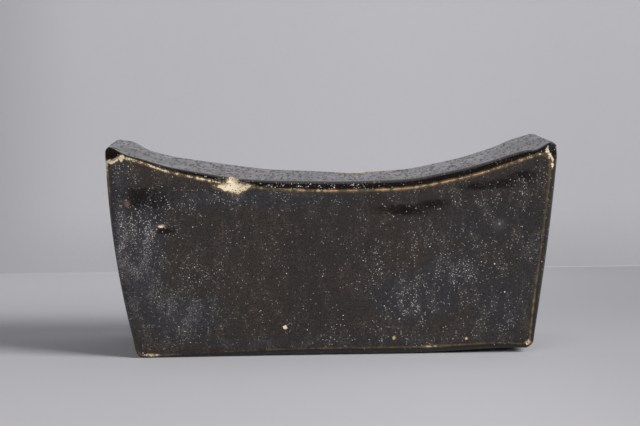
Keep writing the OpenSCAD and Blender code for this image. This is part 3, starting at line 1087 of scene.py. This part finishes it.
def dotted(tree, place, colour):
    """A colour with the small marks of the front face laid over it, one of them a painted
    highlight.
    """
    for x, z, radius, draw, fade, dot_colour in FRONT_MARKS_AND_GLINT:
        from_middle = vector(tree, "SUBTRACT", place, (x, -HALF_DEPTH, z))
        drawn_in = vector(tree, "MULTIPLY", from_middle, (1 / draw, 1, 1))
        far = add(tree, "VectorMath", {0: drawn_in}, operation="LENGTH").outputs["Value"]
        wobble = times(tree, mottle(tree, place, MARK_WOBBLE, 3), 2 * radius)
        reach = calc(tree, "SUBTRACT", plus(tree, far, wobble), radius)
        cover = ease(tree, reach, radius * (1 + fade / 2), radius * (1 - fade / 2))
        colour = blend(tree, cover, colour, dot_colour)
    return colour


def new_material(name):
    material = bpy.data.materials.new(name)
    material.use_nodes = True
    tree = material.node_tree
    surface = tree.nodes["Principled BSDF"]
    metres = add(tree, "TexCoord").outputs["Object"]
    return material, tree, surface, vector(tree, "MULTIPLY", metres, (1 / MM,) * 3)


def lay_bump(tree, surface, height, strength):
    bump = add(tree, "Bump", {"Strength": strength, "Distance": MM, "Height": height})
    fill(tree, surface.inputs, {"Normal": bump.outputs["Normal"]})


def glazed_material(name, glaze, clay, wear, stain):
    """Glaze over clay, worn through where the mesh says that it is bare."""
    material, tree, surface, place = new_material(name)
    mark = {key: add(tree, "Attribute", attribute_name=key).outputs["Fac"]
            for key in ("bare", "pale", "haze_and_sheen", "pool_and_shade", "speck")}
    coat = place_group(tree, glaze, {"Position": place, "HazeAndSheen": mark["haze_and_sheen"],
                                     "Speck": mark["speck"], "PoolAndShade": mark["pool_and_shade"]})
    worn = place_group(tree, wear, {"Position": place, "Bare": mark["bare"], "Pale": mark["pale"]})
    rust = ease(tree, mark["pale"], 0.9, 0.1, stain, 1.0)
    body = place_group(tree, clay, {"Position": place, "Stain": rust})
    colour = blend(tree, times(tree, worn["Thin"], 0.85), coat["Color"], GLAZE_THIN)
    colour = dotted(tree, place, colour)
    colour = blend(tree, worn["Clay"], colour, body["Color"])
    rough = add(tree, "Mix", {0: worn["Clay"], 2: coat["Roughness"], 3: WORN_ROUGHNESS})
    height = add(tree, "Mix", {0: worn["Clay"], 2: coat["Height"], 3: body["Height"]})
    fill(tree, surface.inputs, {"Base Color": colour, "Roughness": rough.outputs[0]})
    lay_bump(tree, surface, height.outputs[0], 0.8)
    return material


def clay_material(clay):
    """The raw clay of the coils inside."""
    material, tree, surface, place = new_material("raw clay")
    body = place_group(tree, clay, {"Position": place, "Stain": 0.15})
    rough = ease(tree, body["Height"], 0, GRIT_HEIGHT, *RAW_ROUGHNESS)
    fill(tree, surface.inputs, {"Base Color": body["Color"], "Roughness": rough})
    lay_bump(tree, surface, body["Height"], 1.0)
    return material


# Stage, light and camera

# The sweep, in metres, with its floor a hair below the body
SWEEP_BACK = 0.44
SWEEP_BEND = 0.001
SWEEP_FRONT = -4.0
SWEEP_HEIGHT = 2.4
SWEEP_HALF_WIDTH = 4.0
BEND_STEPS = 24
FLOOR_GAP = 0.0002
# The paper lightens a little towards the back of its floor, and painted shade makes it a little
# darker over its fold and towards its sides
PAPER_NEAR = rgb(0.505, 0.500, 0.523)
PAPER_FAR = rgb(0.540, 0.535, 0.558)
PAPER_FOLD_SHADED = rgb(0.405, 0.400, 0.423)
PAPER_WALL = rgb(0.470, 0.465, 0.488)
PAPER_RIGHT_SHADED = rgb(0.360, 0.356, 0.374)
PAPER_LEFT_SHADED = rgb(0.375, 0.371, 0.390)
# In millimetres: width of its fibres, height of the painted shade over the fold, and where the
# painted shade darkens its sides
PAPER_FIBRE = 3
FOLD_SHADE = 60
RIGHT_SHADE = (40, 280)
LEFT_SHADE = (-180, -290)
PAPER_ROUGHNESS = 0.95
PAPER_GLOSS = 0.1


def sweep():
    """A pale floor that turns up into a backdrop, seen from its front alone."""
    profile = [(SWEEP_FRONT, 0), (SWEEP_BACK - SWEEP_BEND, 0)]
    for i in range(1, BEND_STEPS + 1):
        turn = math.pi / 2 * i / BEND_STEPS
        profile.append((SWEEP_BACK - SWEEP_BEND + SWEEP_BEND * math.sin(turn),
                        SWEEP_BEND - SWEEP_BEND * math.cos(turn)))
    profile.append((SWEEP_BACK, SWEEP_HEIGHT))
    sides = (-SWEEP_HALF_WIDTH, SWEEP_HALF_WIDTH)
    points = [(x, y, z - FLOOR_GAP) for y, z in profile for x in sides]
    faces = [(2 * i, 2 * i + 1, 2 * i + 3, 2 * i + 2) for i in range(len(profile) - 1)]
    mesh = bpy.data.meshes.new("sweep")
    mesh.from_pydata(points, [], faces)
    mesh.shade_smooth()
    mesh.materials.append(paper_material())
    made = placed("sweep", mesh)


def paper_material():
    material, tree, surface, place = new_material("grey paper")
    x, y, height = add(tree, "SeparateXYZ", {0: place}).outputs
    fibre = ease(tree, mottle(tree, place, PAPER_FIBRE, 4), 0.2, 0.8, -0.1, 0.1)
    back = ease(tree, y, 0.4 * SWEEP_BACK / MM, SWEEP_BACK / MM)
    # Painted shade: the wall is darkest at its fold and lightens upwards
    up = ease(tree, height, 0, FOLD_SHADE)
    floor = blend(tree, plus(tree, back, fibre, clamp=True), PAPER_NEAR, PAPER_FAR)
    wall = blend(tree, plus(tree, up, fibre, clamp=True), PAPER_FOLD_SHADED, PAPER_WALL)
    turned = ease(tree, y, (SWEEP_BACK - SWEEP_BEND) / MM, SWEEP_BACK / MM)
    colour = blend(tree, turned, floor, wall)
    # Painted shade towards the right and the left sides
    painted_right_shade = times(tree, ease(tree, x, *RIGHT_SHADE), ease(tree, turned, 0, 1, 0.9, 0.4))
    colour = blend(tree, painted_right_shade, colour, PAPER_RIGHT_SHADED)
    painted_left_shade = times(tree, ease(tree, x, *LEFT_SHADE), turned)
    colour = blend(tree, painted_left_shade, colour, PAPER_LEFT_SHADED)
    fill(tree, surface.inputs, {"Base Color": colour, "Roughness": PAPER_ROUGHNESS,
                                "Specular IOR Level": PAPER_GLOSS})
    behind = add(tree, "NewGeometry").outputs["Backfacing"]
    see_through = add(tree, "BsdfTransparent").outputs[0]
    either = add(tree, "MixShader", {0: behind, 1: surface.outputs[0], 2: see_through})
    fill(tree, tree.nodes["Material Output"].inputs, {"Surface": either.outputs[0]})
    return material


# Softboxes round the body: azimuth, elevation and distance, then width, height and power
SOFTBOXES = {
    "key": ((30, 30, 3.2), (1.6, 1.6, 125)),
    "fill": ((122, 20, 3.2), (3.0, 0.9, 36)),
}
STUDIO_LOW = rgb(0.14, 0.14, 0.15)
STUDIO_HIGH = rgb(0.08, 0.08, 0.086)


def softbox(name, place, aim, width, height, power):
    lamp = bpy.data.lights.new(name, "AREA")
    lamp.shape = "RECTANGLE"
    lamp.size = width
    lamp.size_y = height
    lamp.energy = power
    made = placed(name, lamp)
    made.location = place
    made.rotation_euler = (Vector(aim) - Vector(place)).to_track_quat("-Z", "Y").to_euler()


def from_angle(azimuth, elevation, distance):
    """A place in metres round the body: azimuth 0 is the right, and 90 the front."""
    a, e = math.radians(azimuth), math.radians(elevation)
    return Vector((math.cos(e) * math.cos(a), -math.cos(e) * math.sin(a), math.sin(e))) * distance


def lights():
    aim = (cad_low + cad_high) / 2
    for name, (way, make) in SOFTBOXES.items():
        softbox(name, aim + from_angle(*way), aim, *make)
    world = bpy.data.worlds.new("studio")
    world.use_nodes = True
    tree = world.node_tree
    up = add(tree, "SeparateXYZ", {0: add(tree, "TexCoord").outputs["Generated"]}).outputs["Z"]
    colour = blend(tree, ease(tree, up, 0.0, 0.5), STUDIO_LOW, STUDIO_HIGH)
    fill(tree, tree.nodes["Background"].inputs, {"Color": colour})
    bpy.context.scene.world = world


# The photograph is 640 pixels wide
FRAME_WIDTH = 640
SENSOR_WIDTH = 36.0
FOCAL_PIXELS = 2330
CAMERA_PLACE = (-0.0425, -1.4950, 0.2090)
CAMERA_PITCH = 4.76
CAMERA_YAW = -1.40
CAMERA_ROLL = -0.61


def camera():
    data = bpy.data.cameras.new("camera")
    data.sensor_width = SENSOR_WIDTH
    data.lens = FOCAL_PIXELS * SENSOR_WIDTH / FRAME_WIDTH
    made = placed("camera", data)
    level = Euler((math.radians(90 - CAMERA_PITCH), 0, math.radians(CAMERA_YAW))).to_matrix()
    turned = level @ Matrix.Rotation(math.radians(CAMERA_ROLL), 3, "Z")
    made.matrix_world = Matrix.Translation(CAMERA_PLACE) @ turned.to_4x4()
    bpy.context.scene.camera = made


def dress():
    glaze, clay, wear = glaze_group(), clay_group(), wear_group()
    black_glaze = glazed_material("black glaze", glaze, clay, wear, 0.0)
    thin_glaze = glazed_material("glaze on slip", glaze, clay, wear, 0.1)
    glazed_ring(black_glaze)
    panels(black_glaze)
    panel_seams(thin_glaze)
    mitre_seams(thin_glaze)
    raw_clay = clay_material(clay)
    for name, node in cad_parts.items():
        if name.endswith("_coil"):
            node.data.materials.clear()
            node.data.materials.append(raw_clay)


camera()
dress()
sweep()
lights()
bpy.context.scene.view_settings.view_transform = "Standard"
